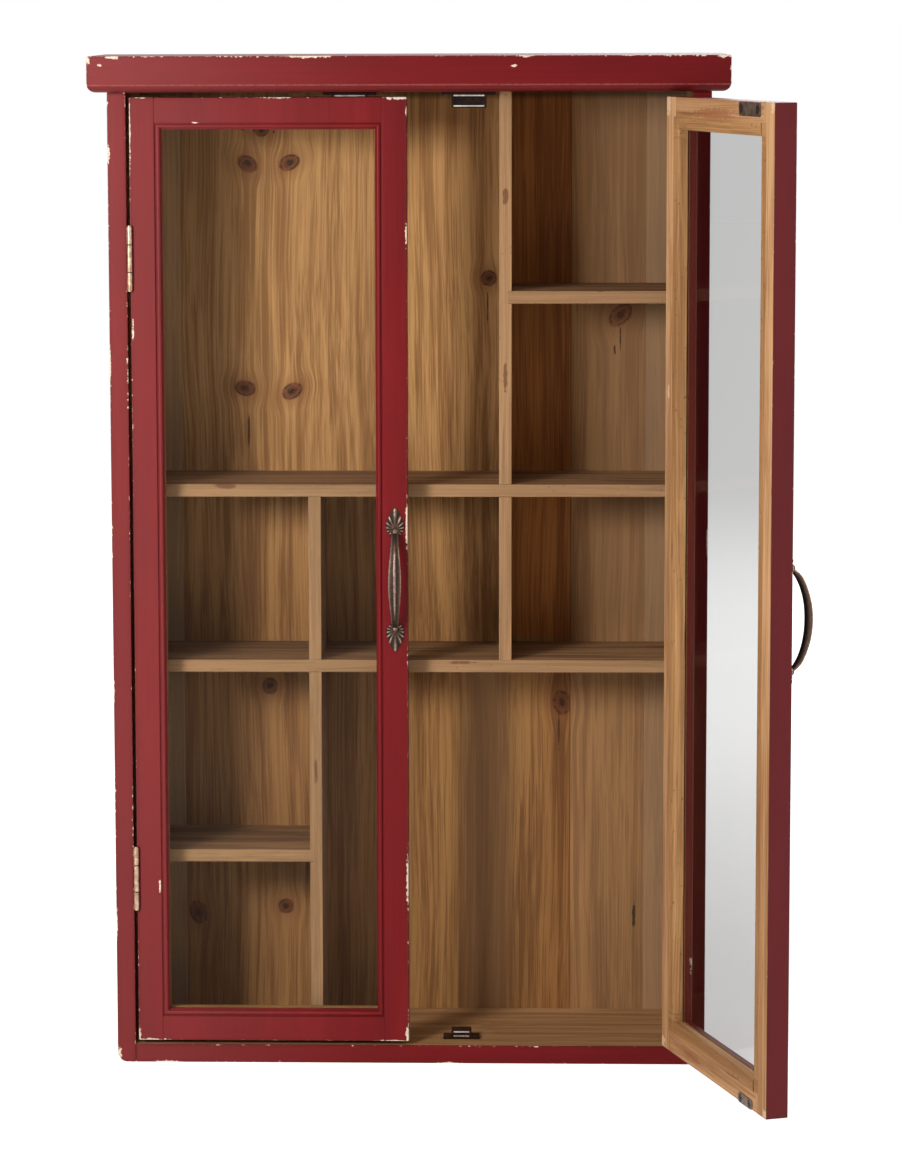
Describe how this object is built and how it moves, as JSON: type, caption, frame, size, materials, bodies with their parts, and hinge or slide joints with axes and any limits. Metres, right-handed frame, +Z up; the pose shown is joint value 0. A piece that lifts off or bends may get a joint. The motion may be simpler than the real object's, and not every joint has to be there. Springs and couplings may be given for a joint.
{
  "type": "glazed wall display case",
  "caption": "Tall wooden wall display case with open compartments behind inset glazed doors that swing on butt hinges and shut on magnetic catches.",
  "frame": {"origin": "middle of the underside, on the plane that the case stands on", "axes": "+Z up, -Y towards the front, +X to the right of someone who faces the doors"},
  "size_m": [0.5497, 0.3381, 0.8],
  "materials": {
    "painted_wood": "distressed satin paint, worn to pale wood along the edges",
    "door_wood": "painted outside, bare aged softwood inside, worn along the edges",
    "back_wood": "bare aged softwood boards with dark knots",
    "raw_wood": "bare aged softwood",
    "bead_wood": "bare planed softwood",
    "pane_glass": "clear, polished",
    "handle_bronze": "dark antique casting, brighter on the high places",
    "hinge_brass": "dull rolled brass",
    "screw_steel": "dark plated steel",
    "zinc_steel": "bright zinc plate",
    "strike_steel": "dull nickel plate",
    "catch_plastic": "brown moulded",
    "magnet": "sintered, matt"
  },
  "bodies": {
    "cabinet": {"top_board": "painted_wood", "side_left": "painted_wood", "side_right": "painted_wood", "bottom_board": "painted_wood", "back_strip_left": "back_wood", "back_board_wide": "back_wood", "back_board_narrow": "back_wood", "back_strip_right": "back_wood", "shelf_upper": "raw_wood", "shelf_lower": "raw_wood", "shelf_right": "raw_wood", "shelf_left": "raw_wood", "divider_upper": "raw_wood", "divider_lower": "raw_wood", "corner_dowels": "raw_wood", "back_panel_pins": "zinc_steel", "hanger_plate_left": "zinc_steel", "hanger_plate_right": "zinc_steel", "hanger_screws": "screw_steel", "top_catch_left": "catch_plastic", "top_catch_right": "catch_plastic", "bottom_catch_left": "catch_plastic", "bottom_catch_right": "catch_plastic", "catch_magnets": "magnet", "catch_pole_plates": "zinc_steel", "catch_screws": "screw_steel", "frame_leaf_left_upper": "hinge_brass", "frame_leaf_left_lower": "hinge_brass", "frame_leaf_right_upper": "hinge_brass", "frame_leaf_right_lower": "hinge_brass", "hinge_pins": "hinge_brass", "frame_leaf_screws": "screw_steel"},
    "left_door": {"left_hinge_stile": "door_wood", "left_meeting_stile": "door_wood", "left_top_rail": "door_wood", "left_bottom_rail": "door_wood", "left_glass": "pane_glass", "left_glazing_beads": "bead_wood", "left_door_leaf_upper": "hinge_brass", "left_door_leaf_lower": "hinge_brass", "left_handle": "handle_bronze", "left_handle_screws": "screw_steel", "left_strike_top": "strike_steel", "left_strike_bottom": "strike_steel", "left_wood_screws": "screw_steel"},
    "right_door": {"right_hinge_stile": "door_wood", "right_meeting_stile": "door_wood", "right_top_rail": "door_wood", "right_bottom_rail": "door_wood", "right_glass": "pane_glass", "right_glazing_beads": "bead_wood", "right_door_leaf_upper": "hinge_brass", "right_door_leaf_lower": "hinge_brass", "right_handle": "handle_bronze", "right_handle_screws": "screw_steel", "right_strike_top": "strike_steel", "right_strike_bottom": "strike_steel", "right_wood_screws": "screw_steel"}
  },
  "joints": [
    {"name": "left_door_swing", "type": "hinge", "parent": "cabinet", "child": "left_door", "pos_m": [-0.2178, -0.0642, 0], "axis": [0, 0, -1], "range_deg": [0, 175]},
    {"name": "right_door_swing", "type": "hinge", "parent": "cabinet", "child": "right_door", "pos_m": [0.2178, -0.0642, 0], "axis": [0, 0, 1], "range_deg": [-108.5, 66.5]}
  ]
}
